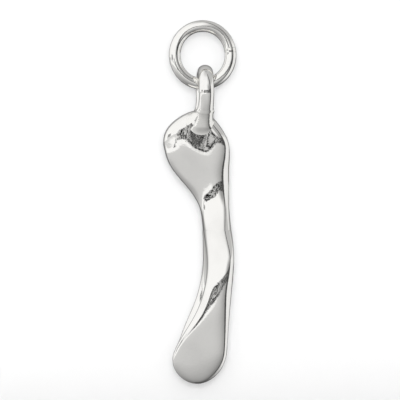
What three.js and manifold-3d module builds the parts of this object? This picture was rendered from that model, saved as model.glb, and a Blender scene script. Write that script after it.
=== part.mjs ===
// A wishbone charm: a cast wishbone hung from a wire loop and a jump ring.
// Millimetres, +Z up. The origin is the hanging point, at the inside top of the jump ring.
// The jump ring lies in the XZ plane, the hanging loop in the YZ plane, and the two arms spread along Y.
import * as THREE from 'three';
import { mergeVertices } from 'three/addons/utils/BufferGeometryUtils.js';
import Module from 'manifold-3d';

// Jump ring: round wire, slightly taller than wide, closed by solder at one side
const ringWire = 0.98;
const ringHoleWidth = 3.78;
const ringHoleHeight = 3.95;
const ringSeamAngle = 9;
const ringSeamWidth = 0.34;

// Hanging loop: flattened wire over the jump ring, its two feet let into the faces of the head
const loopThickness = 1.08;
const loopBreadth = 1.28;
const loopFullness = 2.4;
const loopWidth = 4.58;
const loopX = 0.2;
const loopInside = 2.81;
const shoulderRise = 1.1;
const shoulderReach = 1.68;
const footX = -0.08;
const footLength = 1.2;
const footSunk = 0.35;
const footSwell = 1.07;
const linkClearance = 0.06;

// Solder beads round the two feet
const beadWidth = 1.95;
const beadHeight = 2.4;
const beadDepth = 1.5;
const beadRise = 0.1;
const beadProud = 0.1;
const solderGap = 0.05;

// The casting from crown to toe
const castingLength = 23.15;

// The casting, place by place from the top. down is the place's share of the length, counted from the place
// above, x the middle of the side view there, width its size along X, reach how far the outer face stands
// from the middle plane, wall the thickness of one arm, twist how many degrees the outer face turns towards
// -X, full how square the cross section is, where 2 is an ellipse, and dome the share by which the face is
// lower at its edges than in its middle.
const crown = { down: 0, x: -0.45, width: 4.6, reach: 1.5, wall: 1.3, twist: 1, full: 3.4, dome: 0.1 };
const brow = { down: 1.3, x: -0.71, width: 5.26, reach: 1.47, wall: 1.3, twist: 2, full: 3.4, dome: 0.1 };
const head = { down: 1.8, x: -0.53, width: 5.54, reach: 1.43, wall: 1.3, twist: 4, full: 3.4, dome: 0.1 };
const cheek = { down: 1.78, x: -0.2, width: 4.86, reach: 1.2, wall: 1.3, twist: 5, full: 3.3, dome: 0.1 };
const throat = { down: 1.87, x: 0.55, width: 3.34, reach: 0.9, wall: 1.3, twist: 6, full: 2.8, dome: 0.08 };
const neck = { down: 1.45, x: 0.96, width: 2.54, reach: 1.08, wall: 1.4, twist: 13, full: 2.5, dome: 0.03 };
const thigh = { down: 1.9, x: 1.2, width: 2.37, reach: 2.1, wall: 1.75, twist: 17, full: 2.3, dome: 0 };
const leg = { down: 2.35, x: 1.32, width: 2.25, reach: 3.5, wall: 1.9, twist: 17, full: 2.3, dome: 0 };
const knee = { down: 2.75, x: 1.05, width: 2.36, reach: 3.96, wall: 1.5, twist: 5, full: 2.6, dome: 0 };
const calf = { down: 2.2, x: 0.56, width: 2.96, reach: 3.78, wall: 1.15, twist: -5, full: 2.8, dome: 0 };
const paddle = { down: 3.1, x: -0.4, width: 4.46, reach: 3.25, wall: 1.0, twist: -1, full: 3.0, dome: 0 };
const toe = { down: 2.65, x: -0.63, width: 4.54, reach: 2.75, wall: 0.95, twist: 0, full: 3.0, dome: 0 };
const places = [crown, brow, head, cheek, throat, neck, thigh, leg, knee, calf, paddle, toe];
const crotchRadius = 0.4;
const armRounding = 2.6;
const crownFullness = 3.2;
const toeFullness = 3.0;
const farShift = 0.45;
const farShiftStart = 0.6;

// Fineness of the meshes
const columns = 16;
const capRows = 8;
const bodyRows = 36;
const wireSides = 12;
const ringSteps = 44;
const archSteps = 16;
const beadSides = 18;
const halvings = 40;
const weldDistance = 1e-5;

const silver = { color: 0xe6e4dd, metalness: 1, roughness: 0.12 };
const solder = { color: 0xd9d7cf, metalness: 1, roughness: 0.2 };

// The depth of each place below the hanging point, and the values along the casting, smooth between them
const crownDrop = ringHoleHeight - linkClearance + loopInside;
const shares = places.reduce((sum, place) => sum + place.down, 0);
const drops = new Map();
places.reduce((drop, place) => {
  const next = drop + (castingLength * place.down) / shares;
  drops.set(place, next);
  return next;
}, crownDrop);
const headDrop = drops.get(head);
const paddleDrop = drops.get(paddle);
const toeDrop = drops.get(toe);
const fields = ['x', 'width', 'reach', 'wall', 'twist', 'full', 'dome'];
const along = new THREE.CubicInterpolant(
  places.map((place) => drops.get(place)),
  places.flatMap((place) => fields.map((field) => place[field])),
  fields.length,
);

// How much of the full size is left at a distance from an end that is rounded over a length
function rounding(distance, length, fullness) {
  const inward = Math.max(0, 1 - distance / length);
  return Math.max(0, 1 - inward ** fullness) ** (1 / fullness);
}

// One level of the casting, all sizes grown by grow: its middle, half width, outer and inner faces and edge
function level(drop, grow) {
  const [x, width, reach, wall, twist, full, dome] = along.evaluate(drop);
  const belowCrown = drop - crownDrop + grow;
  const crownLength = headDrop - crownDrop + grow;
  const crownCap = rounding(belowCrown, crownLength, 2);
  const crownThickness = rounding(belowCrown, crownLength, crownFullness);
  const toeCap = rounding(toeDrop - drop, toeDrop - paddleDrop, 2);
  const half = (width / 2) * crownCap * toeCap + grow * Math.min(crownCap, toeCap);
  const opening = reach - wall - crotchRadius;
  const parted = drop > drops.get(neck) && opening > 0;
  const middleInner = parted ? Math.sqrt(opening * (opening + 2 * crotchRadius)) : 0;
  const toeThickness = rounding(toeDrop - drop, toeDrop - paddleDrop, toeFullness);
  const middle = (reach + middleInner) / 2;
  const thickness = ((reach - middleInner) / 2) * toeThickness;
  const outer = parted ? middle + thickness : reach * crownThickness;
  const inner = parted ? middle - thickness : 0;
  const roundness = parted ? THREE.MathUtils.smoothstep(drop, crotchDrop, crotchDrop + armRounding) : 0;
  const edge = inner + (roundness * (outer - inner)) / 2;
  const lean = Math.tan(THREE.MathUtils.degToRad(twist)) * half * crownCap * toeThickness;
  const grown = outer + grow * crownThickness;
  return { x, z: -drop, half, outer: grown, inner, edge, roundness, lean, full, dome };
}

// The depth at which the two arms part, found by halving
function findCrotch() {
  let high = drops.get(neck);
  let low = drops.get(knee);
  for (let i = 0; i < halvings; i += 1) {
    const drop = (high + low) / 2;
    const [, , reach, wall] = along.evaluate(drop);
    if (reach - wall - crotchRadius > 0) low = drop;
    else high = drop;
  }
  return low;
}
const crotchDrop = findCrotch();

// Where the outer or inner face stands at a place across one level, u being -1 at the -X edge and 1 at +X
function faceAt(row, face, u) {
  const rim = Math.max(0, 1 - Math.abs(u) ** row.full) ** (1 / row.full);
  const bulge = rim * (1 - row.dome * u * u);
  const leanShare = face === 'outer' ? bulge + row.roundness * (1 - bulge) : row.roundness;
  const flat = row.edge + row.lean * u * leanShare;
  return flat + (row[face] - row.edge) * bulge;
}

// Points of the outer or inner face across one level, from the -X edge to the +X edge
function across(row, face) {
  return Array.from({ length: columns + 1 }, (_, i) => {
    const u = -Math.cos((Math.PI * i) / columns);
    return [row.x + u * row.half, faceAt(row, face, u), row.z];
  });
}

// How much further towards +X the far arm stands than the near one at a depth
function farOffset(drop) {
  const start = drops.get(calf) - farShiftStart;
  return farShift * THREE.MathUtils.smootherstep(drop, start, paddleDrop);
}

// The casting as one closed mesh: an outer face from top to toe and an inner face below the crotch,
// and the same mirrored on the far side, which shares the vertices on the middle plane
function castingGeometry(grow) {
  const depths = [];
  const top = crownDrop - grow;
  for (let i = 0; i < capRows; i += 1) {
    depths.push(headDrop - (headDrop - top) * Math.cos((Math.PI / 2) * (i / capRows)));
  }
  const bodyStep = (paddleDrop - headDrop) / bodyRows;
  for (let i = 0; i < bodyRows; i += 1) depths.push(headDrop + i * bodyStep);
  for (let i = 0; i <= capRows; i += 1) {
    depths.push(paddleDrop + (toeDrop - paddleDrop) * Math.sin((Math.PI / 2) * (i / capRows)));
  }
  let parting = 0;
  depths.forEach((depth, i) => {
    if (Math.abs(depth - crotchDrop) < Math.abs(depths[parting] - crotchDrop)) parting = i;
  });
  depths[parting] = crotchDrop;
  const rows = depths.map((depth) => level(depth, grow));
  const outerRows = rows.map((row) => across(row, 'outer'));
  const innerRows = rows.slice(parting).map((row) => across(row, 'inner'));
  const positions = [];
  const triangle = (a, b, c, side) => {
    const corners = side < 0 ? [a, b, c] : [a, c, b];
    corners.forEach(([x, y, z]) => positions.push(side < 0 ? x : x + farOffset(-z), side * y, z));
  };
  const sheet = (grid, side, facing) => {
    for (let r = 0; r + 1 < grid.length; r += 1) {
      for (let c = 0; c < columns; c += 1) {
        const [a, b, d, e] = [grid[r][c], grid[r][c + 1], grid[r + 1][c], grid[r + 1][c + 1]];
        if (facing > 0) {
          triangle(a, d, b, side);
          triangle(b, d, e, side);
        } else {
          triangle(a, b, d, side);
          triangle(b, e, d, side);
        }
      }
    }
  };
  for (const side of [-1, 1]) {
    sheet(outerRows, side, 1);
    sheet(innerRows, side, -1);
  }
  const geometry = new THREE.BufferGeometry();
  geometry.setAttribute('position', new THREE.Float32BufferAttribute(positions, 3));
  return geometry;
}

// The section of a wire, where a fullness of 2 is an ellipse and more is squarer
function wireSection(breadth, thickness, fullness) {
  const points = Array.from({ length: wireSides }, (_, i) => {
    const cosine = Math.cos((2 * Math.PI * i) / wireSides);
    const sine = Math.sin((2 * Math.PI * i) / wireSides);
    const size = (Math.abs(cosine) ** fullness + Math.abs(sine) ** fullness) ** (-1 / fullness);
    return new THREE.Vector2((cosine * size * breadth) / 2, (sine * size * thickness) / 2);
  });
  return new THREE.Shape(points);
}

// A wire along a path, closed at both ends
function wireGeometry(path, section, steps) {
  return new THREE.ExtrudeGeometry(section, { steps, bevelEnabled: false, extrudePath: path });
}
const ringSection = wireSection(ringWire, ringWire, 2);
const ringRadius = (ringHoleWidth + ringWire) / 2;

// The middle of the jump ring's wire between two angles, counted from +X towards +Z
class RingArc extends THREE.Curve {
  constructor(fromAngle, toAngle) {
    super();
    this.fromAngle = fromAngle;
    this.toAngle = toAngle;
  }

  getPoint(t, target = new THREE.Vector3()) {
    const angle = this.fromAngle + (this.toAngle - this.fromAngle) * t;
    const x = ringRadius * Math.cos(angle);
    const z = ((ringHoleHeight + ringWire) / 2) * Math.sin(angle) - ringHoleHeight / 2;
    return target.set(x, 0, z);
  }
}
const seamMiddle = THREE.MathUtils.degToRad(ringSeamAngle);
const seamHalf = ringSeamWidth / 2 / ringRadius;
const seamFill = (ringSeamWidth / 2 - solderGap) / ringRadius;

// The feet are let into the head's outer faces, a short way below its crown
const footDrop = crownDrop + footLength;
const footLevel = level(footDrop, 0);
const footReach = faceAt(footLevel, 'outer', (footX - footLevel.x) / footLevel.half) - footSunk;
const shoulderDrop = crownDrop - shoulderRise;

// The middle of the loop's wire, from the near foot over the shoulders and the arch to the far foot
function loopPath() {
  const archRadius = (loopWidth - loopThickness) / 2;
  const archCentre = ringHoleHeight - linkClearance - loopThickness / 2 + archRadius;
  const points = [new THREE.Vector3(footX, -footReach, -footDrop)];
  points.push(new THREE.Vector3(loopX, -shoulderReach, -shoulderDrop));
  for (let i = 0; i <= archSteps; i += 1) {
    const angle = Math.PI * (1 - i / archSteps);
    const y = archRadius * Math.cos(angle);
    points.push(new THREE.Vector3(loopX, y, archRadius * Math.sin(angle) - archCentre));
  }
  points.push(new THREE.Vector3(loopX, shoulderReach, -shoulderDrop));
  points.push(new THREE.Vector3(footX, footReach, -footDrop));
  return new THREE.CatmullRomCurve3(points, false, 'centripetal');
}

// The bead round one foot, before the loop and the head are cut out of it
function beadGeometry(side) {
  const geometry = new THREE.SphereGeometry(0.5, beadSides, beadSides / 2);
  geometry.scale(beadWidth, beadDepth, beadHeight);
  geometry.translate(footX, side * (footReach + beadProud), beadRise - footDrop);
  return geometry;
}

// Closed meshes as solids, to cut one from another
const wasm = await Module();
wasm.setup();
function solid(geometry) {
  const bare = geometry.index ? geometry.toNonIndexed() : geometry.clone();
  bare.deleteAttribute('normal');
  bare.deleteAttribute('uv');
  const merged = mergeVertices(bare, weldDistance);
  const index = Array.from(merged.index.array);
  const kept = [];
  for (let i = 0; i < index.length; i += 3) {
    const [a, b, c] = index.slice(i, i + 3);
    if (a !== b && b !== c && a !== c) kept.push(a, b, c);
  }
  return new wasm.Manifold(new wasm.Mesh({
    numProp: 3,
    vertProperties: merged.attributes.position.array,
    triVerts: new Uint32Array(kept),
  }));
}
function geometryOf(manifold) {
  const mesh = manifold.getMesh();
  const geometry = new THREE.BufferGeometry();
  geometry.setAttribute('position', new THREE.BufferAttribute(mesh.vertProperties, 3));
  geometry.setIndex(new THREE.BufferAttribute(mesh.triVerts, 1));
  return geometry;
}
function largestOf(manifold) {
  return manifold.decompose().reduce((best, piece) => (piece.volume() > best.volume() ? piece : best));
}

// The loop with rounded feet, its wire thickened by a gap all round where it has to be cut out of something
function loopSolid(gap) {
  const breadth = loopBreadth + 2 * gap;
  const thickness = loopThickness + 2 * gap;
  const section = wireSection(breadth, thickness, loopFullness);
  const foot = (side) => {
    const ball = new THREE.SphereGeometry(0.5, wireSides, wireSides / 2);
    ball.scale(breadth * footSwell, thickness * footSwell, thickness * footSwell);
    return solid(ball.translate(footX, side * footReach, -footDrop));
  };
  return solid(wireGeometry(loopPath(), section, 2 * archSteps)).add(foot(-1)).add(foot(1));
}

const seat = loopSolid(solderGap);
const casting = solid(castingGeometry(0)).subtract(seat);
const castingWithGap = solid(castingGeometry(solderGap));
const bead = (side) => largestOf(solid(beadGeometry(side)).subtract(seat).subtract(castingWithGap));

const ringArc = new RingArc(seamMiddle + seamHalf, seamMiddle + 2 * Math.PI - seamHalf);
const seamArc = new RingArc(seamMiddle - seamFill, seamMiddle + seamFill);

const charm = new THREE.Group();
function add(name, geometry, finish) {
  geometry.computeVertexNormals();
  const mesh = new THREE.Mesh(geometry, new THREE.MeshStandardMaterial(finish));
  mesh.name = name;
  charm.add(mesh);
}
add('jump_ring', wireGeometry(ringArc, ringSection, ringSteps), silver);
add('jump_ring_solder', wireGeometry(seamArc, ringSection, 2), solder);
add('hanging_loop', geometryOf(loopSolid(0)), silver);
add('wishbone', geometryOf(casting), silver);
add('loop_solder_near', geometryOf(bead(-1)), solder);
add('loop_solder_far', geometryOf(bead(1)), solder);

export default charm;
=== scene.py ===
"""A silver wishbone charm on a jump ring, in a white light tent.

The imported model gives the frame. Each sub-assembly below builds a fine mesh in the place of its solids and
dresses it. Sizes are in millimetres, +Z up, with the origin at the hanging point; meshes are in metres.
"""
import logging
import math
from dataclasses import dataclass, field
from enum import Enum
from typing import Callable, Sequence, Union

import bmesh
import bpy
import numpy as np
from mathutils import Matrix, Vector


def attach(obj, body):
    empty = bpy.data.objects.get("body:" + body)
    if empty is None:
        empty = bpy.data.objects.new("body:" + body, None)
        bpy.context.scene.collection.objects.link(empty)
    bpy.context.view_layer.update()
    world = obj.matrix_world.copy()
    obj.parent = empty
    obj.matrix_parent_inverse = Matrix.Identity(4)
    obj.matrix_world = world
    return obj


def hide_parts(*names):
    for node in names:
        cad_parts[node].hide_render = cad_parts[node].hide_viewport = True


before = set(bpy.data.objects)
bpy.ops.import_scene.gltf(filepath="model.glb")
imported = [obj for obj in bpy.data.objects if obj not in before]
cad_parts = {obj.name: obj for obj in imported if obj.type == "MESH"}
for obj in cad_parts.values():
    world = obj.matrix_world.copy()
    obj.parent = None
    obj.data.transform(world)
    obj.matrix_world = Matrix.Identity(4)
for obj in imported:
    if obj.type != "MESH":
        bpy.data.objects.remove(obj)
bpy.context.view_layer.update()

MM = 0.001
MERGE = 1e-4  # millimetres within which points are joined
SHARP = 50.0  # degrees beyond which an edge stays sharp
TINY = 1e-9  # the least number that is divided by
FLAT = 1e-6  # the least slope that is divided by
Array = np.ndarray
Row = dict[str, Array]
Sampled = Callable[[Array], Array]
Pair = tuple[float, float]
Triple = tuple[float, float, float]
Stops = tuple[Pair, ...]
Material = bpy.types.Material
Piece = bpy.types.Object
Value = Union["Socket", float]
Fill = Union["Socket", float, Sequence[float]]
log = logging.getLogger("charm")


class Body(Enum):
    """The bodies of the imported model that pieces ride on."""

    RING = "ring"
    CHARM = "charm"


class Side(Enum):
    """The near side faces the camera, and the far side is its mirror image."""

    NEAR = -1.0
    FAR = 1.0


class Slot(Enum):
    """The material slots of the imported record."""

    SILVER = "silver"
    SOLDER = "solder"


# Shader graphs


@dataclass(frozen=True)
class Socket:
    """The output of a node, which takes part in sums as a number does, or nothing for a node without one."""

    graph: "Graph"
    output: bpy.types.NodeSocket | None

    def math(self, operation: str, *others: Value) -> "Socket":
        """Adds one Math node.

        Args:
            operation: The node's operation.
            others: What follows this value in the node's inputs.

        Returns:
            The node's value.
        """
        inputs = dict(enumerate([self, *others]))
        return self.graph.node("ShaderNodeMath", {"operation": operation}, inputs)

    def __add__(self, other: Value) -> "Socket":
        """This plus the other."""
        return self.math("ADD", other)

    __radd__ = __add__

    def __mul__(self, other: Value) -> "Socket":
        """This times the other."""
        return self.math("MULTIPLY", other)

    __rmul__ = __mul__

    def __sub__(self, other: Value) -> "Socket":
        """This less the other."""
        return self.math("SUBTRACT", other)

    def __rsub__(self, other: float) -> "Socket":
        """The other less this."""
        return self.graph.node("ShaderNodeMath", {"operation": "SUBTRACT"}, {0: other, 1: self})

    def __truediv__(self, other: Value) -> "Socket":
        """This over the other."""
        return self.math("DIVIDE", other)

    def __rtruediv__(self, other: float) -> "Socket":
        """The other over this."""
        return self.graph.node("ShaderNodeMath", {"operation": "DIVIDE"}, {0: other, 1: self})

    def ramp(self, low: float, high: float, start: float = 0.0, end: float = 1.0) -> "Socket":
        """A smooth step from start to end while this goes from low to high.

        Args:
            low: Where the step begins.
            high: Where it ends.
            start: The value before it.
            end: The value after it.

        Returns:
            The stepped value.
        """
        settings = {"interpolation_type": "SMOOTHSTEP"}
        values = {"Value": self, "From Min": low, "From Max": high, "To Min": start, "To Max": end}
        return self.graph.node("ShaderNodeMapRange", settings, values)

    def band(self, span: Pair, soft: Pair) -> "Socket":
        """One within a span, falling to nothing over a soft margin below it and another above it."""
        low, high = span
        return self.ramp(low - soft[0], low) * self.ramp(high, high + soft[1], 1.0, 0.0)


class Graph:
    """The nodes of one material or of the world."""

    def __init__(self, owner: Union[Material, bpy.types.World]) -> None:
        """Turns nodes on and clears them.

        Args:
            owner: The material or world.
        """
        owner.use_nodes = True
        self.tree = owner.node_tree
        self.tree.nodes.clear()

    def node(self, kind: str, settings: dict[str, object] | None = None,
             inputs: dict[Union[str, int], Fill] | None = None,
             output: Union[str, int] = 0) -> Socket:
        """Adds a node of any type.

        Args:
            kind: The node's type.
            settings: Its own settings, which are set first. "stops" are the places and colours of a ramp.
            inputs: Values or links, by the name or number of the socket.
            output: The name or number of the output to give back.

        Returns:
            That output.
        """
        made = self.tree.nodes.new(kind)
        for name, value in (settings or {}).items():
            if name == "stops":
                self._fill_ramp(made.color_ramp, value)
            else:
                setattr(made, name, value)
        for key, value in (inputs or {}).items():
            target = made.inputs[key]
            if isinstance(value, Socket):
                self.tree.links.new(value.output, target)
            else:
                target.default_value = value
        return Socket(self, made.outputs[output] if len(made.outputs) else None)

    @staticmethod
    def _fill_ramp(ramp: bpy.types.ColorRamp, stops: Sequence[Pair]) -> None:
        """Gives a ramp its stops.

        Args:
            ramp: The ramp.
            stops: A place from 0 to 1 and a grey for each.
        """
        while len(ramp.elements) < len(stops):
            ramp.elements.new(1.0)
        for element, (place, grey) in zip(ramp.elements, stops):
            element.position = place
            element.color = (grey, grey, grey, 1.0)

    def mix_colour(self, share: Fill, first: Fill, second: Fill) -> Socket:
        """Mixes two colours by a share."""
        return self.node("ShaderNodeMix", {"data_type": "RGBA"}, {0: share, 6: first, 7: second}, 2)

    def noise(self, place: Socket, scale: float, detail: float) -> Socket:
        """Noise at a place, with so many features to its unit and so much finer detail."""
        return self.node("ShaderNodeTexNoise", {}, {"Vector": place, "Scale": scale, "Detail": detail}, "Fac")


# Shapes


class Spline:
    """A curve through one row of values per depth, without jumps in its bend."""

    def __init__(self, depths: Array, values: Array) -> None:
        """Works out the bends at the given depths.

        Args:
            depths: Rising depths.
            values: One row of values for each.
        """
        self.depths = depths
        self.values = values
        gaps = np.diff(self.depths)
        slopes = np.diff(self.values, axis=0) / gaps[:, None]
        system = np.eye(len(self.depths))
        turn = np.zeros_like(values)
        for i in range(1, len(gaps)):
            system[i, i - 1:i + 2] = gaps[i - 1], 2 * (gaps[i - 1] + gaps[i]), gaps[i]
            turn[i] = 6 * (slopes[i] - slopes[i - 1])
        self.bends = np.linalg.solve(system, turn)

    def __call__(self, depth: Array) -> Array:
        """The rows of values at some depths, held beyond both ends.

        Args:
            depth: The depths.

        Returns:
            One row of values for each.
        """
        depth = np.clip(depth, self.depths[0], self.depths[-1])
        i = np.clip(np.searchsorted(self.depths, depth) - 1, 0, len(self.depths) - 2)
        gap = (self.depths[i + 1] - self.depths[i])[:, None]
        below = (depth - self.depths[i])[:, None] / gap
        above = 1 - below
        bend = (above**3 - above) * self.bends[i] + (below**3 - below) * self.bends[i + 1]
        return above * self.values[i] + below * self.values[i + 1] + bend * gap**2 / 6


def ease(value: Array, low: float, high: float) -> Array:
    """A step from 0 to 1 between low and high, smooth in slope and bend."""
    t = np.clip((value - low) / (high - low), 0, 1)
    return t**3 * (t * (6 * t - 15) + 10)


def quarter_oval(place: Array, fullness: Array | float) -> Array:
    """The height of a quarter oval at places from its middle at 0 to its end at 1."""
    return np.clip(1 - place**fullness, 0, 1)**(1 / fullness)


def rounding(distance: Array, length: float, fullness: float = 2.0) -> Array:
    """How much of the full size is left at a distance from an end that is rounded over a length."""
    return quarter_oval(np.clip(1 - distance / length, 0, 1), fullness)


def soft_union(first: Array, second: Array, fillet: float) -> Array:
    """The lesser of two distances, with a smooth fillet where they are nearly the same."""
    near = np.clip(1 - np.abs(first - second) / fillet, 0, 1)
    return np.minimum(first, second) - near**3 * fillet / 6


def unit(rows: Array) -> Array:
    """The rows, each made one long."""
    return rows / np.linalg.norm(rows, axis=1)[:, None]


def spread_cosine(count: int) -> Array:
    """Numbers from 0 to 1, closer together near both ends."""
    return (1 - np.cos(np.pi * np.arange(count + 1) / count)) / 2


def add_object(name: str, data: bpy.types.ID) -> Piece:
    """Adds an object to the scene.

    Args:
        name: Its name.
        data: Its mesh, camera or lamp.

    Returns:
        The object.
    """
    made = bpy.data.objects.new(name, data)
    bpy.context.scene.collection.objects.link(made)
    return made


@dataclass
class MeshMaker:
    """Collects sheets of points in millimetres and makes one mesh of them."""

    points: list[Array] = field(default_factory=list)
    faces: list[tuple[int, ...]] = field(default_factory=list)
    count: int = 0

    def add(self, points: Array, faces: Sequence[Sequence[int]]) -> None:
        """Adds points and the faces between them.

        Args:
            points: The points.
            faces: The numbers of each face's points, counted from 0.
        """
        self.points.append(points.reshape(-1, 3))
        self.faces.extend(tuple(int(c) + self.count for c in face) for face in faces)
        self.count += len(self.points[-1])

    def sheet(self, grid: Array, flip: bool = False, closed: bool = False) -> None:
        """Adds a sheet of quads.

        Args:
            grid: Points by row and column.
            flip: Turns the faces over.
            closed: Joins the last column to the first.
        """
        rows, columns = grid.shape[:2]
        across = columns if closed else columns - 1
        faces = []
        for r in range(rows - 1):
            for c in range(across):
                d = (c + 1) % columns
                face = (r * columns + c, (r + 1) * columns + c, (r + 1) * columns + d, r * columns + d)
                faces.append(face[::-1] if flip else face)
        self.add(grid, faces)

    def build(self, name: str) -> Piece:
        """Makes the object, with points that meet joined into one.

        Args:
            name: The piece's name.

        Returns:
            The object, shaded smooth.
        """
        mesh = bpy.data.meshes.new(name)
        mesh.from_pydata((np.concatenate(self.points) * MM).tolist(), [], self.faces)
        work = bmesh.new()
        work.from_mesh(mesh)
        bmesh.ops.remove_doubles(work, verts=work.verts, dist=MERGE * MM)
        bmesh.ops.recalc_face_normals(work, faces=work.faces)
        work.to_mesh(mesh)
        work.free()
        mesh.shade_smooth()
        mesh.set_sharp_from_angle(angle=math.radians(SHARP))
        return add_object(name, mesh)


def surface_net(field_at: Sampled, low: Array, high: Array, step: float, steps: int = 4) -> MeshMaker:
    """A closed mesh of the surface on which a field is nothing, the field being below nothing inside.

    Args:
        field_at: The field at rows of points.
        low: The lowest corner of the block that holds the surface.
        high: Its highest corner.
        step: The distance between samples.
        steps: How often the points are moved onto the surface.

    Returns:
        The mesh, before it is built.
    """
    axes = [np.arange(a, b + step, step) for a, b in zip(low, high)]
    lattice = np.stack(np.meshgrid(*axes, indexing="ij"), axis=-1)
    value = field_at(lattice.reshape(-1, 3)).reshape(lattice.shape[:3])
    cells = tuple(n - 1 for n in value.shape)
    corners = [(i, j, k) for i in (0, 1) for j in (0, 1) for k in (0, 1)]
    total = np.zeros(cells + (3,))
    crossings = np.zeros(cells)

    def at(source: Array, corner: tuple[int, int, int]) -> Array:
        """The samples at one corner of every cell."""
        i, j, k = corner
        return source[i:i + cells[0], j:j + cells[1], k:k + cells[2]]

    for one in corners:
        for axis in range(3):
            if one[axis]:
                continue
            two = tuple(1 if a == axis else c for a, c in enumerate(one))
            first, second = at(value, one), at(value, two)
            crossed = (first < 0) != (second < 0)
            share = np.where(crossed, first / np.where(crossed, first - second, 1), 0)[..., None]
            point = at(lattice, one) * (1 - share) + at(lattice, two) * share
            total += np.where(crossed[..., None], point, 0)
            crossings += crossed
    kept = crossings > 0
    number = np.full(cells, -1)
    number[kept] = np.arange(kept.sum())
    points = total[kept] / crossings[kept][:, None]
    faces = []
    inside = value < 0
    for axis in range(3):
        others = [a for a in range(3) if a != axis]
        crossed = np.argwhere(inside != np.roll(inside, -1, axis))
        fits = (crossed < cells).all(1) & (crossed[:, others] >= 1).all(1)
        rings = np.repeat(crossed[fits][:, None, :], 4, axis=1)
        rings[..., others] -= np.array([(0, 0), (1, 0), (1, 1), (0, 1)])
        faces.extend(number[tuple(np.moveaxis(rings, -1, 0))])
    probe = step / 10
    for _ in range(steps):
        slope = gradient(field_at, points, probe)
        size = np.maximum((slope**2).sum(1), FLAT)
        move = slope * (field_at(points) / size)[:, None]
        points = points - np.clip(move, -step, step)
    made = MeshMaker()
    made.add(points, faces)
    return made


def gradient(field_at: Sampled, points: Array, step: float) -> Array:
    """The slope of a field at some points.

    Args:
        field_at: The field.
        points: Rows of points.
        step: How far apart it is sampled.

    Returns:
        One row for each point.
    """
    shifts = np.eye(3) * step
    pairs = [field_at(points + shift) - field_at(points - shift) for shift in shifts]
    return np.stack(pairs, axis=1) / (2 * step)


# Finishes


@dataclass(frozen=True)
class Finish:
    """Cast silver, polished by hand: a clear mirror over a skin that is never quite even.

    edge is how brightly its rim mirrors, wear how much rougher the worn places are, and ripple and swell are
    the sizes of the fine and the broad unevenness. The ranges are the values of the broad one between which
    wear and dullness set in, dulling is what the dull tint keeps of the colour, and dull_share how much of
    that tint shows at most.
    """

    name: str = "polished_silver"
    colour: Triple = (0.965, 0.955, 0.93)
    edge: float = 0.36
    roughness: float = 0.03
    wear: float = 0.03
    wear_range: Pair = (0.3, 0.7)
    ripple: float = 0.2
    ripple_depth: float = 0.0024
    ripple_detail: float = 1.0
    swell: float = 1.6
    swell_detail: float = 3.0
    dulling: float = 0.93
    dull_range: Pair = (0.35, 0.75)
    dull_share: float = 0.5

    def material(self) -> Material:
        """Makes the material.

        Returns:
            A material whose colour, roughness and small bumps come from noise over the piece itself.
        """
        made = bpy.data.materials.new(self.name)
        graph = Graph(made)
        place = graph.node("ShaderNodeTexCoord", {}, {}, "Object")
        cloud = graph.noise(place, 1 / (self.swell * MM), self.swell_detail)
        fine = graph.noise(place, 1 / (self.ripple * MM), self.ripple_detail)
        tint = [*self.colour, 1.0]
        dull = [c * self.dulling for c in self.colour] + [1.0]
        colour = graph.mix_colour(cloud.ramp(*self.dull_range) * self.dull_share, tint, dull)
        rough = cloud.ramp(*self.wear_range, self.roughness, self.roughness + self.wear)
        height = fine * self.ripple_depth
        normal = graph.node("ShaderNodeBump", {}, {"Height": height, "Distance": MM, "Strength": 1.0})
        shader = graph.node("ShaderNodeBsdfPrincipled", {}, {
            "Base Color": colour,
            "Metallic": 1.0,
            "Roughness": rough,
            "Specular Tint": [self.edge] * 3 + [1.0],
            "Normal": normal,
        })
        graph.node("ShaderNodeOutputMaterial", {}, {"Surface": shader})
        return made


# The charm


@dataclass(kw_only=True)
class SubAssembly:
    """Pieces that ride on one body, with the material of each slot."""

    materials: dict[Slot, Material]
    body: Body = Body.CHARM

    def dress(self, piece: Piece, slot: Slot, node: str) -> None:
        """Gives a piece its finish, its body and the solid that it stands for.

        Args:
            piece: The piece.
            slot: The record's slot for it.
            node: The solid that it replaces.
        """
        piece.data.materials.append(self.materials[slot])
        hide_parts(node)
        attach(piece, self.body.value)
        log.info("%s: %d faces on %s", piece.name, len(piece.data.polygons), self.body.value)


@dataclass(frozen=True)
class Place:
    """One place along the casting.

    down is the depth below the place above, x the middle of the width, width the size along X, reach how far
    the outer face stands from the middle plane, wall the thickness of one arm, twist how many degrees the
    outer face turns towards -X, full how square the section is, dome by what share its face falls from the
    middle to the edges, and square by what share it is squarer at its -X edge, or rounder if below nothing.
    """

    down: float
    x: float
    width: float
    reach: float
    wall: float
    twist: float
    full: float
    dome: float
    square: float = 0.0


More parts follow.
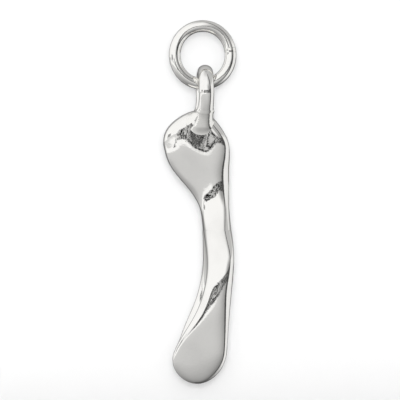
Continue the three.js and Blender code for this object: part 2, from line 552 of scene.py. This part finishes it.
@dataclass
class Wishbone(SubAssembly):
    """The casting: a flat head that narrows to a neck, and two arms that part below it and end in paddles.

    The crown lies crown_drop below the hanging point. crotch_radius rounds the fork, groove is how far above
    it a groove begins, and arm_rounding how far below it the arms are round all over. The far paddle stands
    far_shift to +X of the near one, from shift_start above the calf on. The -X edge gets squarer over
    square_span of the half width and keeps left_dome of the dome. flat_spot is the middle, depth, half width
    and half height of a flat that is assumed on the head, and flat_reach its distance from the middle plane,
    what that loses at each millimetre down, and what it gains at each millimetre to +X.

    The places from brow to toe, left_dome, flat_spot, flat_reach and toe_fullness hold results of another
    program, a least-squares fit to where the reflections end in the photograph. They were rounded, and some
    of them moderated. The solids have none of them: their values were chosen by hand before it.
    """

    crown_drop: float = 6.7
    crotch_radius: float = 0.4
    arm_rounding: float = 2.6
    groove: float = 1.4
    crown_fullness: float = 3.2
    toe_fullness: float = 3.2
    far_shift: float = 0.45
    shift_start: float = 0.6
    square_span: float = 0.6
    left_dome: float = 0.3
    flat_spot: tuple[float, float, float, float] = (-0.53, 8.71, 1.4, 1.73)
    flat_reach: Triple = (1.407, 0.037, -0.005)
    columns: int = 72
    cap_rows: int = 28
    body_rows: int = 110
    saddle_rows: int = 18
    crotch_samples: int = 4001
    places: dict[str, Place] = field(default_factory=lambda: {
        "crown": Place(0.0, -0.45, 4.6, 1.5, 1.3, 1, 3.4, 0.1, 0.3),
        "brow": Place(1.3, -0.71, 5.26, 1.445, 1.3, 4.7, 3.6, 0.01, 0.25),
        "head": Place(1.8, -0.53, 5.54, 1.37, 1.3, 4.8, 5.7, 0.115, -0.15),
        "cheek": Place(1.78, -0.2, 4.86, 1.16, 1.3, 5.7, 4.0, 0.205, 1.4),
        "throat": Place(1.705, 0.49, 3.5, 0.975, 1.3, 5.4, 2.9, 0.14, 1.0),
        "neck": Place(1.38, 0.93, 2.6, 1.083, 1.4, 11.6, 3.3, 0.045, 0.2),
        "thigh": Place(2.135, 1.2, 2.37, 2.17, 1.8, 15, 2.7, 0),
        "leg": Place(2.35, 1.32, 2.25, 3.54, 1.9, 17.5, 2.4, 0),
        "knee": Place(2.87, 1.04, 2.37, 3.945, 1.5, 5.5, 1.9, 0.03, 0.5),
        "calf": Place(1.95, 0.59, 2.92, 3.79, 1.17, 0, 2.4, 0),
        "paddle": Place(3.23, -0.4, 4.46, 3.23, 1.0, 3.5, 2.9, 0.02, 0.6),
        "toe": Place(2.65, -0.63, 4.54, 2.68, 0.95, -0.5, 3.0, 0.005),
    })

    def __post_init__(self) -> None:
        """Works out the depth of each place, the curves between them, and where the arms part."""
        drops = self.crown_drop + np.cumsum([p.down for p in self.places.values()])
        self.drops = dict(zip(self.places, drops))
        fields = ("x", "width", "reach", "wall", "twist", "full", "dome", "square")
        rows = [[getattr(p, name) for name in fields] for p in self.places.values()]
        self.along = Spline(drops, np.array(rows))
        tries = np.linspace(self.drops["neck"], self.drops["knee"], self.crotch_samples)
        self.crotch_drop = tries[np.argmax(self._opening(tries) > 0)]

    def _opening(self, drop: Array) -> Array:
        """How far the arms have parted, less than nothing where they haven't yet."""
        values = self.along(drop)
        return values[:, 2] - values[:, 3] - self.crotch_radius

    def _gap(self, opening: Array) -> Array:
        """Half the gap between the arms for an opening, round at the crotch."""
        opening = np.maximum(opening, 0)
        return np.sqrt(opening * (opening + 2 * self.crotch_radius))

    def levels(self, drop: Array) -> Row:
        """All values of the casting at some depths.

        Args:
            drop: The depths below the hanging point.

        Returns:
            Columns of the depth, the middle and half width, the outer and inner faces, where the edges lie,
            how round the inner edges are, how far the face leans, how square, domed and uneven the section
            is, and how far the arms have parted.
        """
        x, width, reach, _, twist, full, dome, square = self.along(drop).T
        crown_length = self.drops["head"] - self.crown_drop
        toe_length = self.drops["toe"] - self.drops["paddle"]
        below_crown, above_toe = drop - self.crown_drop, self.drops["toe"] - drop
        crown_cap, toe_cap = rounding(below_crown, crown_length), rounding(above_toe, toe_length)
        crown_thin = rounding(below_crown, crown_length, self.crown_fullness)
        toe_thin = rounding(above_toe, toe_length, self.toe_fullness)
        opening = np.where(drop > self.drops["throat"], self._opening(drop), -1.0)
        gap = self._gap(opening)
        parted = opening > 0
        outer = np.where(parted, (reach + gap + (reach - gap) * toe_thin) / 2, reach * crown_thin)
        inner = np.where(parted, (reach + gap - (reach - gap) * toe_thin) / 2, 0.0)
        roundness = ease(drop, self.crotch_drop - self.groove, self.crotch_drop + self.arm_rounding)
        half = width / 2 * crown_cap * toe_cap
        edge = inner + roundness * (outer - inner) / 2
        lean = np.tan(np.radians(twist)) * half * crown_cap * toe_thin
        made = {"drop": drop, "x": x, "half": half, "outer": outer, "inner": inner, "edge": edge,
                "roundness": roundness, "lean": lean, "full": full, "dome": dome, "square": square,
                "opening": opening}
        return {name: value[:, None] for name, value in made.items()}

    def _uneven(self, full: Array, dome: Array, square: Array, u: Array) -> tuple[Array, Array]:
        """How square the section is at u, from -1 to 1 across it, and what the dome leaves of it there."""
        fallen = dome * np.where(u < 0, self.left_dome, 1) * np.clip(u, -1, 1)**2
        return full * (1 + square * ease(-u, 0, self.square_span)), 1 - fallen

    def _bulge(self, row: Row, u: Array) -> Array:
        """How far the face stands between its edge and its middle, at u across each level."""
        full, left = self._uneven(row["full"], row["dome"], row["square"], u)
        return quarter_oval(np.abs(u), full) * left

    def _flattened(self, x: Array, drop: Array, face: Array) -> Array:
        """The face with the flat spot that is assumed round the loop's foot.

        Args:
            x: Places along X.
            drop: Their depths.
            face: How far the face stood from the middle plane.

        Returns:
            How far it stands from it.
        """
        middle, level, wide, tall = self.flat_spot
        spot = np.exp(-(((x - middle) / wide)**2 + ((drop - level) / tall)**2)**2)
        reach, rise, turn = self.flat_reach
        plane = reach - rise * (drop - level) + turn * (x - middle)
        return face + spot * (plane - face)

    def _outer_face(self, row: Row, u: Array) -> Array:
        """Points of the near arm's outer face.

        Args:
            row: The values of the levels.
            u: -1 at the -X edge and 1 at the +X edge.

        Returns:
            The points, by level and u.
        """
        bulge = self._bulge(row, u)
        lean = row["lean"] * u * (bulge + row["roundness"] * (1 - bulge))
        x, drop = row["x"] + u * row["half"], row["drop"] + 0 * u
        y = row["edge"] + (row["outer"] - row["edge"]) * bulge + lean
        y = y + (self._flattened(x, drop, y) - y) * bulge
        return np.stack([x, -y, -drop], axis=-1)

    def _inner_face(self, row: Row, share: Array, side: float) -> Array:
        """Points of the near arm's inner face from the middle, or from the crotch's saddle, to one edge.

        Args:
            row: The values of the levels.
            share: 0 at the middle or the saddle and 1 at the edge.
            side: -1 for the -X edge and 1 for the +X edge.

        Returns:
            The points, by level and share.
        """
        radius = self.crotch_radius
        edge_opening = np.sqrt(radius**2 + row["edge"]**2) - radius
        opening = np.where(row["opening"] > 0, np.sqrt(radius**2 + row["inner"]**2) - radius, row["opening"])
        level = np.clip(edge_opening / np.maximum(edge_opening - opening, TINY), 0, 1)
        start = np.where(opening < 0, quarter_oval(level, row["full"]), 0)
        u = start + (1 - start) * share
        here = edge_opening - (edge_opening - opening) * quarter_oval(u, row["full"])
        gap = np.where(share == 0, np.where(opening < 0, 0, row["inner"]), self._gap(here))
        lean = row["lean"] * u * side * row["roundness"] * gap / np.maximum(row["edge"], TINY)
        return np.stack([row["x"] + side * u * row["half"], -(gap + lean), -row["drop"] + 0 * u], axis=-1)

    def _mirrored(self, grid: Array) -> Array:
        """Points of the far side for those of the near one, with the paddle a little further to +X."""
        shift = ease(-grid[..., 2:], self.drops["calf"] - self.shift_start, self.drops["paddle"])
        return grid * [1.0, -1.0, 1.0] + shift * [self.far_shift, 0.0, 0.0]

    def _depths(self) -> tuple[Array, int]:
        """The levels of the mesh.

        Returns:
            Their depths, and how many of them lie above the groove that leads to the crotch.
        """
        crown, head = self.crown_drop, self.drops["head"]
        paddle, toe = self.drops["paddle"], self.drops["toe"]
        groove = self.crotch_drop - self.groove
        quarter = np.pi / 2 * np.arange(self.cap_rows) / self.cap_rows
        saddle = (np.arange(1, self.saddle_rows + 1) / self.saddle_rows)**2
        parts = [
            head - (head - crown) * np.cos(quarter),
            np.linspace(head, groove, self.body_rows // 2, endpoint=False),
            self.crotch_drop - np.append(saddle[::-1], 0) * self.groove,
            self.crotch_drop + saddle * self.groove,
            np.linspace(self.crotch_drop + self.groove, paddle, self.body_rows)[1:-1],
            toe - (toe - paddle) * (1 - np.sin(np.append(quarter, np.pi / 2))),
        ]
        return np.concatenate(parts), self.cap_rows + self.body_rows // 2

    def build(self) -> None:
        """Builds the casting in one piece and dresses it."""
        depths, start = self._depths()
        u = 2 * spread_cosine(self.columns)[None, :] - 1
        share = spread_cosine(self.columns // 2)[None, :]
        outer = self._outer_face(self.levels(depths), u)
        inner_row = self.levels(depths[start:])
        maker = MeshMaker()
        sheets = [(outer, False)]
        sheets += [(self._inner_face(inner_row, share, side), side > 0) for side in (-1.0, 1.0)]
        for grid, flip in sheets:
            maker.sheet(grid, flip)
            maker.sheet(self._mirrored(grid), not flip)
        self.dress(maker.build("wishbone_casting"), Slot.SILVER, "wishbone")

    def distance(self, points: Array) -> Array:
        """About how far points near the head lie outside it, less than nothing inside.

        Args:
            points: Rows of points in millimetres.

        Returns:
            One distance for each.
        """
        span = self.drops["head"] - self.crown_drop
        highest, ceiling, probe, least_slope = 0.999, self.crown_drop + 0.03 * span, 0.004, 1e-3

        def fullness(places: Array) -> Array:
            """How full the head's section is at places near it.

            Args:
                places: Rows of points below the ceiling.

            Returns:
                A number for each, below nothing inside the head and nothing on its skin.
            """
            drop = -places[:, 2]
            x, width, reach, _, _, full, dome, square = self.along(drop).T
            above = np.clip((self.drops["head"] - drop) / span, 0, highest)
            u = (places[:, 0] - x) / (width / 2) / np.sqrt(1 - above**2)
            full, left = self._uneven(full, dome, square, u)
            thin = quarter_oval(above, self.crown_fullness)
            face = self._flattened(places[:, 0], drop, reach * thin * left)
            return (np.abs(u)**full + (np.abs(places[:, 1]) / face)**full)**(1 / full) - 1

        below = np.array(points)
        below[:, 2] = np.minimum(points[:, 2], -ceiling)
        slope = gradient(fullness, below, probe)
        flat = fullness(below) / np.maximum(np.sqrt((slope**2).sum(1)), least_slope)
        flat = np.maximum(flat, np.abs(points[:, 1]) - self.places["crown"].reach)
        height = points[:, 2] - below[:, 2]
        return np.where(height > 0, np.hypot(np.maximum(flat, 0), height), flat)


def tube(path: Array, across: Array, wide: Array, thick: float, sides: int, full: Array) -> Array:
    """The points of a wire along a path that lies near one plane.

    Args:
        path: Rows of points.
        across: The direction of the section's width.
        wide: The section's width at each place.
        thick: Its thickness.
        sides: How many points go round it.
        full: How square the section is at each place, where 2 is an oval.

    Returns:
        The points by place on the path and round the wire.
    """
    tangent = unit(np.gradient(path, axis=0))
    outward = unit(np.cross(tangent, across))
    sideways = np.cross(outward, tangent)
    angle = 2 * np.pi * np.arange(sides) / sides
    cosine, sine = np.cos(angle), np.sin(angle)
    full = full[:, None]
    size = (np.abs(cosine)**full + np.abs(sine)**full)**(-1 / full)
    ring = ((cosine * size)[..., None] * sideways[:, None, :] * wide[:, None, None] / 2
            + (sine * size)[..., None] * outward[:, None, :] * thick / 2)
    return path[:, None, :] + ring


@dataclass
class HangingLoop(SubAssembly):
    """The oval wire over the jump ring, with two rounded feet on the faces of the head, and its solder.

    wire is its thickness and breadth its size along X, which grows to foot_breadth. full and arch_full say
    how square its section is on the legs and in the arch. width is the loop's outer size along Y, and
    top_inside the drop of its wire's underside. fillet is the size of the solder's curve, sink how far it
    runs under the skins, patch its half sizes about a middle patch_rise above the foot's, grain the step of
    its mesh, and margin the room that this has round the patch.
    """

    wishbone: Wishbone
    wire: float = 1.08
    breadth: float = 1.28
    foot_breadth: float = 1.5
    full: float = 2.4
    arch_full: float = 2.0
    width: float = 4.58
    top_inside: float = 3.89
    x: float = 0.2
    foot_x: float = -0.08
    foot_drop: float = 7.9
    foot_reach: float = 1.02
    shoulder_drop: float = 5.6
    shoulder_reach: float = 1.68
    fillet: float = 0.8
    sink: float = 0.012
    patch: Triple = (1.5, 1.3, 1.75)
    patch_rise: float = 0.1
    margin: float = 0.1
    grain: float = 0.05
    arch_points: int = 7
    path_points: int = 160
    cap_rows: int = 13
    sides: int = 48

    def __post_init__(self) -> None:
        """Draws the middle of the wire through the arch, the shoulders and the feet."""
        radius = (self.width - self.wire) / 2
        centre = self.top_inside - self.wire / 2 + radius
        angle = np.linspace(0, np.pi / 2, self.arch_points)
        shin = np.array([[self.foot_reach, -self.foot_drop], [self.shoulder_reach, -self.shoulder_drop]])
        arch = np.stack([radius * np.cos(angle), radius * np.sin(angle) - centre], axis=1)
        near = np.concatenate([shin, arch])
        flat = np.concatenate([near, near[-2::-1] * [-1, 1]])
        x = self.foot_x + (self.x - self.foot_x) * (1 - ease(-flat[:, 1], self.shoulder_drop, self.foot_drop))
        points = np.column_stack([x, flat])
        length = np.append(0, np.cumsum(np.linalg.norm(np.diff(points, axis=0), axis=1)))
        self.path = Spline(length, points)(np.linspace(0, length[-1], self.path_points))
        spread = ease(-self.path[:, 2], self.shoulder_drop, self.foot_drop)
        self.breadths = self.breadth + (self.foot_breadth - self.breadth) * spread
        straight = ease(-self.path[:, 2], self.top_inside, self.shoulder_drop)
        self.fulls = self.arch_full + (self.full - self.arch_full) * straight

    def build(self) -> None:
        """Builds the wire with its rounded feet and dresses it."""
        ends = self.path[[0, -1]]
        out = unit(ends - self.path[[1, -2]])
        angle = np.linspace(np.pi / 2, 0, self.cap_rows + 1)[:-1]
        steps = np.sin(angle) * self.wire / 2
        shrink = np.cos(angle)
        rings = tube(self.path, np.array([1.0, 0, 0]), self.breadths, self.wire, self.sides, self.fulls)
        first = [ends[0] + out[0] * s + (rings[0] - ends[0]) * c for s, c in zip(steps, shrink)]
        last = [ends[1] + out[1] * s + (rings[-1] - ends[1]) * c for s, c in zip(steps[::-1], shrink[::-1])]
        grid = np.concatenate([np.array(first), rings, np.array(last)])
        maker = MeshMaker()
        maker.sheet(grid, closed=True)
        self.dress(maker.build("hanging_loop_wire"), Slot.SILVER, "hanging_loop")

    def distance(self, points: Array) -> Array:
        """About how far points lie outside the wire, less than nothing inside.

        Args:
            points: Rows of points in millimetres.

        Returns:
            One distance for each.
        """
        nearest = np.full(len(points), np.inf)
        offset = np.zeros((len(points), 2))
        breadth = np.full(len(points), self.breadth)
        for place, wide in zip(self.path, self.breadths):
            away = points - place
            flat = np.hypot(away[:, 1], away[:, 2])
            closer = flat < nearest
            nearest = np.where(closer, flat, nearest)
            offset[closer] = np.stack([away[closer, 0], flat[closer]], axis=1)
            breadth[closer] = wide
        radii = np.stack([breadth, np.full(len(points), self.wire)], axis=1) / 2
        share = np.abs(offset) / radii
        size = np.maximum((share**self.full).sum(1), TINY)**(1 / self.full)
        slope = np.sqrt(((share**(self.full - 1) / radii)**2).sum(1)) / size**(self.full - 1)
        return (size - 1) / np.maximum(slope, FLAT)

    def build_solder(self, side: Side, node: str) -> None:
        """Builds the fillet of solder round one foot, which runs out under both skins, and dresses it.

        Args:
            side: The near or the far foot.
            node: The solid that it replaces.
        """
        foot = np.array([self.foot_x, side.value * self.foot_reach, -self.foot_drop + self.patch_rise])
        reach = np.array(self.patch)

        def skin(points: Array) -> Array:
            """The wire and the head with solder between them, cut off round the foot.

            Args:
                points: Rows of points.

            Returns:
                A number for each, below nothing inside.
            """
            joined = soft_union(self.distance(points), self.wishbone.distance(points), self.fillet)
            size = np.sqrt((((points - foot) / reach)**2).sum(1))
            return np.maximum(joined + self.sink, (size - 1) * reach.min())

        maker = surface_net(skin, foot - reach - self.margin, foot + reach + self.margin, self.grain)
        self.dress(maker.build(f"{node}_fillet"), Slot.SOLDER, node)


@dataclass
class JumpRing(SubAssembly):
    """The ring of round wire that the charm hangs from, sprung a little and closed by solder at one side.

    seam_angle is where the solder sits, in degrees from +X towards +Z, solder_gap how far it stays off the
    wire's ends, solder_swell how far it stands proud, and spring how far the wire leaves its plane.
    """

    wire: float = 0.98
    hole_width: float = 3.78
    hole_height: float = 3.95
    seam_angle: float = 9.0
    seam_width: float = 0.34
    solder_gap: float = 0.002
    solder_swell: float = 0.012
    spring: float = 0.2
    steps: int = 200
    seam_steps: int = 10
    sides: int = 40

    def _arc(self, start: float, end: float, steps: int) -> Array:
        """The middle of the wire between two angles.

        Args:
            start: The first angle in radians, from +X towards +Z.
            end: The last one.
            steps: How many steps lie between them.

        Returns:
            Rows of points.
        """
        angle = np.linspace(start, end, steps + 1)
        x = (self.hole_width + self.wire) / 2 * np.cos(angle)
        rise = np.sin(angle)
        y = self.spring * rise * (1 - rise**4)
        z = (self.hole_height + self.wire) / 2 * rise - self.hole_height / 2
        return np.stack([x, y, z], axis=1)

    def _closed_tube(self, path: Array, swell: Array) -> MeshMaker:
        """A wire with flat ends.

        Args:
            path: Rows of points along its middle.
            swell: How much thicker it is at each of them.

        Returns:
            The mesh, before it is built.
        """
        wide, full = np.full(len(path), self.wire), np.full(len(path), 2.0)
        rings = tube(path, np.array([0, 1.0, 0]), wide, self.wire, self.sides, full)
        rings = path[:, None, :] + (rings - path[:, None, :]) * (1 + swell / self.wire)[:, None, None]
        ends = [np.repeat(rings[i].mean(0)[None, :], self.sides, axis=0)[None] for i in (0, -1)]
        maker = MeshMaker()
        maker.sheet(np.concatenate([ends[0], rings, ends[1]]), closed=True)
        return maker

    def build(self) -> None:
        """Builds the ring and the solder in its seam and dresses them."""
        middle = math.radians(self.seam_angle)
        radius = (self.hole_width + self.wire) / 2
        half = self.seam_width / 2 / radius
        path = self._arc(middle + half, middle + 2 * math.pi - half, self.steps)
        ring = self._closed_tube(path, np.zeros(len(path))).build("jump_ring_wire")
        self.dress(ring, Slot.SILVER, "jump_ring")
        half -= self.solder_gap / radius
        path = self._arc(middle - half, middle + half, self.seam_steps)
        bow = np.sin(np.linspace(0, np.pi, len(path))) * 2 * self.solder_swell
        seam = self._closed_tube(path, bow).build("jump_ring_seam")
        self.dress(seam, Slot.SOLDER, "jump_ring_solder")


# The studio


@dataclass
class Camera:
    """The camera, level with the charm and a few degrees to its left.

    target is what it looks at, view_width how wide the view is there, and yaw how many degrees it stands to
    the left. clip is the nearest and the furthest that it sees, in metres.
    """

    target: Triple = (-0.23, 0.0, -14.3)
    distance: float = 500.0
    view_width: float = 34.0
    yaw: float = 4.0
    sensor: float = 36.0
    clip: Pair = (0.05, 5.0)

    def place(self) -> Piece:
        """Makes the camera and gives it to the scene.

        Returns:
            The camera.
        """
        data = bpy.data.cameras.new("camera")
        data.sensor_width = self.sensor
        data.lens = self.distance * self.sensor / self.view_width
        data.clip_start, data.clip_end = self.clip
        made = add_object("camera", data)
        turn = math.radians(self.yaw)
        look = Vector((math.sin(turn), math.cos(turn), 0.0))
        made.location = (Vector(self.target) - look * self.distance) * MM
        made.rotation_euler = look.to_track_quat("-Z", "Y").to_euler()
        bpy.context.scene.camera = made
        return made


@dataclass(frozen=True)
class Panel:
    """A part of the tent with a grey of its own.

    azimuths and heights bound it in degrees, side_soft is the soft margin left and right of it, and end_soft
    the margin below and above it.
    """

    azimuths: Pair
    heights: Pair
    side_soft: Pair
    end_soft: Pair
    grey: float

    def hang(self, behind: Socket, azimuth: Socket, height: Socket) -> Socket:
        """Hangs the panel before what is there already.

        Args:
            behind: The brightness without the panel.
            azimuth: The azimuth of a direction.
            height: Its height.

        Returns:
            The brightness with it.
        """
        cover = azimuth.band(self.azimuths, self.side_soft) * height.band(self.heights, self.end_soft)
        return behind * (1 - cover) + cover * self.grey


@dataclass
class Tent:
    """The light tent: white above, grey below, with a dark slot along the horizon and a dark post beside it.

    All angles are in degrees, counted from the direction of the camera: azimuths to the right, heights up.
    sky and ground are greys at places along their spans of height. ground_side, slot_side and slot_rise each
    give two azimuths and a factor, which the ground's grey, the slot's grey and the height of its top reach
    at the second one. slot_half is how far the slot reaches up and down, and slot_grain and grain_range
    spread its grain between slot_greys. Past back_azimuth on both sides, back_share of all light is left.
    """

    axis: float = 4.0
    sky_span: Pair = (0.0, 90.0)
    sky: Stops = ((0.0, 0.98), (0.5, 0.96), (0.68, 0.92), (0.82, 0.72), (1.0, 0.56))
    ground_span: Pair = (-90.0, -10.0)
    ground: Stops = (
        (0.0, 0.15), (0.22, 0.24), (0.45, 0.34), (0.65, 0.43), (0.77, 0.51), (0.84, 0.6), (1.0, 0.66))
    ground_side: Triple = (4.0, 54.0, 0.45)
    horizon_soft: float = 1.0
    shade: Panel = Panel((46.0, 125.0), (30.0, 84.0), (40.0, 5.0), (16.0, 6.0), 0.52)
    dusk: Panel = Panel((30.0, 46.0), (2.0, 18.0), (28.0, 10.0), (4.0, 22.0), 0.33)
    flank: Panel = Panel((58.0, 125.0), (-30.0, 18.0), (3.0, 3.0), (40.0, 16.0), 0.85)
    crescent: Panel = Panel((-100.0, 0.0), (-10.0, -5.0), (8.0, 8.0), (3.0, 3.0), 0.97)
    post: Panel = Panel((46.0, 56.0), (-65.0, 70.0), (3.0, 3.0), (12.0, 12.0), 0.08)
    slot_half: float = 6.0
    slot_edge: float = 1.5
    slot_azimuths: Pair = (-20.5, 56.0)
    slot_soft: Pair = (2.0, 4.0)
    slot_rise: Triple = (20.0, 46.0, 2.2)
    slot_greys: Pair = (0.0, 0.62)
    slot_side: Triple = (0.0, 40.0, 0.4)
    slot_grain: float = 24.0
    slot_detail: float = 3.0
    grain_range: Pair = (0.43, 0.6)
    mark_azimuths: Pair = (-66.0, -42.0)
    mark_heights: Pair = (1.5, 7.0)
    mark_soft: Pair = (3.0, 3.0)
    back_azimuth: float = 125.0
    back_soft: float = 10.0
    back_share: float = 0.65

    def hang(self) -> None:
        """Makes the world, whose brightness depends only on direction, and white for the camera."""
        world = bpy.data.worlds.new("tent")
        bpy.context.scene.world = world
        graph = Graph(world)
        way = graph.node("ShaderNodeTexCoord", {}, {}, "Generated")
        split = graph.node("ShaderNodeSeparateXYZ", {}, {0: way}, 0)
        x, y, z = (Socket(graph, split.output.node.outputs[i]) for i in range(3))
        turn = math.radians(self.axis)
        degrees = 180 / math.pi
        ahead = x * -math.sin(turn) + y * -math.cos(turn)
        right = x * math.cos(turn) + y * -math.sin(turn)
        height = z.math("ARCSINE") * degrees
        azimuth = right.math("ARCTAN2", ahead) * degrees
        below = self._grey(height, self.ground_span, self.ground)
        low, high, share = self.ground_side
        below = below * azimuth.ramp(low, high, 1.0, share)
        above = self._grey(height, self.sky_span, self.sky)
        lit = height.ramp(-self.horizon_soft, self.horizon_soft)
        grey = below * (1 - lit) + above * lit
        for panel in (self.shade, self.dusk, self.flank, self.crescent):
            grey = panel.hang(grey, azimuth, height)
        slot, dark = self._slot(way, azimuth, height)
        grey = self.post.hang(grey * (1 - slot) + slot * dark, azimuth, height)
        turned, back = azimuth.math("ABSOLUTE"), self.back_azimuth
        grey = grey * turned.ramp(back, back + self.back_soft, 1.0, self.back_share)
        path = graph.node("ShaderNodeLightPath", {}, {}, "Is Camera Ray")
        seen = path + grey * (1 - path)
        colour = graph.node("ShaderNodeCombineColor", {}, {0: seen, 1: seen, 2: seen})
        light = graph.node("ShaderNodeBackground", {}, {"Color": colour, "Strength": 1.0})
        graph.node("ShaderNodeOutputWorld", {}, {"Surface": light})

    def _slot(self, way: Socket, azimuth: Socket, height: Socket) -> tuple[Socket, Socket]:
        """The dark slot along the horizon, taller towards the right, and the short mark left of it.

        Args:
            way: A direction.
            azimuth: Its azimuth.
            height: Its height.

        Returns:
            How far the two cover the direction, and their brightness there.
        """
        low, high, growth = self.slot_rise
        edge = self.slot_edge
        top = azimuth.ramp(low, high, self.slot_half, growth * self.slot_half)
        slot = height.ramp(-self.slot_half - edge, -self.slot_half) * (top - height).ramp(-edge, 0.0)
        slot = slot * azimuth.band(self.slot_azimuths, self.slot_soft)
        mark = azimuth.band(self.mark_azimuths, self.mark_soft)
        mark = mark * height.band(self.mark_heights, (edge, edge))
        grain = way.graph.noise(way, self.slot_grain, self.slot_detail)
        low, high, share = self.slot_side
        dark = grain.ramp(*self.grain_range, *self.slot_greys) * azimuth.ramp(low, high, 1.0, share)
        return slot + mark, dark

    @staticmethod
    def _grey(height: Socket, span: Pair, stops: Stops) -> Socket:
        """The brightness at a height between stops that are spread over a span."""
        place = (height - span[0]) / (span[1] - span[0])
        return height.graph.node("ShaderNodeValToRGB", {"stops": stops}, {0: place})


@dataclass(frozen=True)
class Paper:
    """White paper that is clear from behind and takes a soft shadow.

    fill is how brightly it glows to the camera alone.
    """

    name: str = "sweep_paper"
    colour: float = 0.62
    fill: float = 0.06

    def material(self) -> Material:
        """Makes the material.

        Returns:
            A matt material whose back can't be seen.
        """
        made = bpy.data.materials.new(self.name)
        graph = Graph(made)
        matt = graph.node("ShaderNodeBsdfDiffuse", {}, {"Color": [self.colour] * 3 + [1.0]})
        camera = graph.node("ShaderNodeLightPath", {}, {}, "Is Camera Ray")
        glow = graph.node("ShaderNodeEmission", {}, {"Strength": camera * self.fill})
        lit = graph.node("ShaderNodeAddShader", {}, {0: matt, 1: glow})
        clear = graph.node("ShaderNodeBsdfTransparent")
        behind = graph.node("ShaderNodeNewGeometry", {}, {}, "Backfacing")
        both = graph.node("ShaderNodeMixShader", {}, {0: behind, 1: lit, 2: clear})
        graph.node("ShaderNodeOutputMaterial", {}, {"Surface": both})
        return made


@dataclass(frozen=True)
class Lamp:
    """A lamp that throws the charm's soft shadow on the sweep and isn't mirrored in the silver.

    up is how far it hangs above the camera.
    """

    name: str
    up: float
    radius: float
    watts: float

    def hang(self, camera: Piece) -> None:
        """Hangs the lamp.

        Args:
            camera: The camera that it hangs over.
        """
        lamp = bpy.data.lights.new(self.name, "POINT")
        lamp.energy = self.watts
        lamp.shadow_soft_size = self.radius * MM
        placed = add_object(self.name, lamp)
        placed.visible_glossy = placed.visible_camera = False
        placed.location = camera.location + camera.rotation_euler.to_matrix() @ Vector((0, self.up, 0)) * MM


@dataclass
class Sweep:
    """The pale floor that rises in a cove to the backdrop, seen only from its front, and the lamps for it."""

    paper: Paper = Paper()
    floor: float = -36.0
    back: float = 33.0
    bend: float = 18.0
    bend_points: int = 24
    front: float = -90.0
    top: float = 70.0
    half_width: float = 130.0
    lamps: tuple[Lamp, ...] = (Lamp("near_lamp", 4.5, 6.0, 6.4), Lamp("wide_lamp", 8.0, 26.0, 4.8))

    def build(self, camera: Piece) -> None:
        """Builds the sweep and hangs the lamps.

        Args:
            camera: The camera, over which the lamps hang.
        """
        quarter = np.linspace(0, np.pi / 2, self.bend_points)
        y = np.concatenate([[self.front], self.back - self.bend + self.bend * np.sin(quarter), [self.back]])
        z = np.concatenate([[self.floor], self.floor + self.bend * (1 - np.cos(quarter)), [self.top]])
        sides = (-self.half_width, self.half_width)
        grid = np.stack([np.stack([np.full_like(y, x), y, z], axis=1) for x in sides], axis=1)
        maker = MeshMaker()
        maker.sheet(grid)
        sweep = maker.build("studio_sweep")
        if sweep.data.polygons[0].normal.z < 0:
            sweep.data.flip_normals()
        sweep.data.materials.append(self.paper.material())
        sweep.visible_glossy = False
        for lamp in self.lamps:
            lamp.hang(camera)


def main() -> None:
    """Builds the studio and the charm in order."""
    logging.basicConfig(level=logging.INFO, format="%(name)s: %(message)s")
    bpy.context.scene.view_settings.view_transform = "Standard"
    camera = Camera().place()
    Tent().hang()
    Sweep().build(camera)
    solder = Finish("solder_silver", (0.95, 0.94, 0.91), roughness=0.06, wear=0.06)
    materials = {Slot.SILVER: Finish().material(), Slot.SOLDER: solder.material()}
    wishbone = Wishbone(materials=materials)
    wishbone.build()
    loop = HangingLoop(wishbone, materials=materials)
    loop.build()
    loop.build_solder(Side.NEAR, "loop_solder_near")
    loop.build_solder(Side.FAR, "loop_solder_far")
    JumpRing(materials=materials, body=Body.RING).build()


if __name__ == "__main__":
    main()
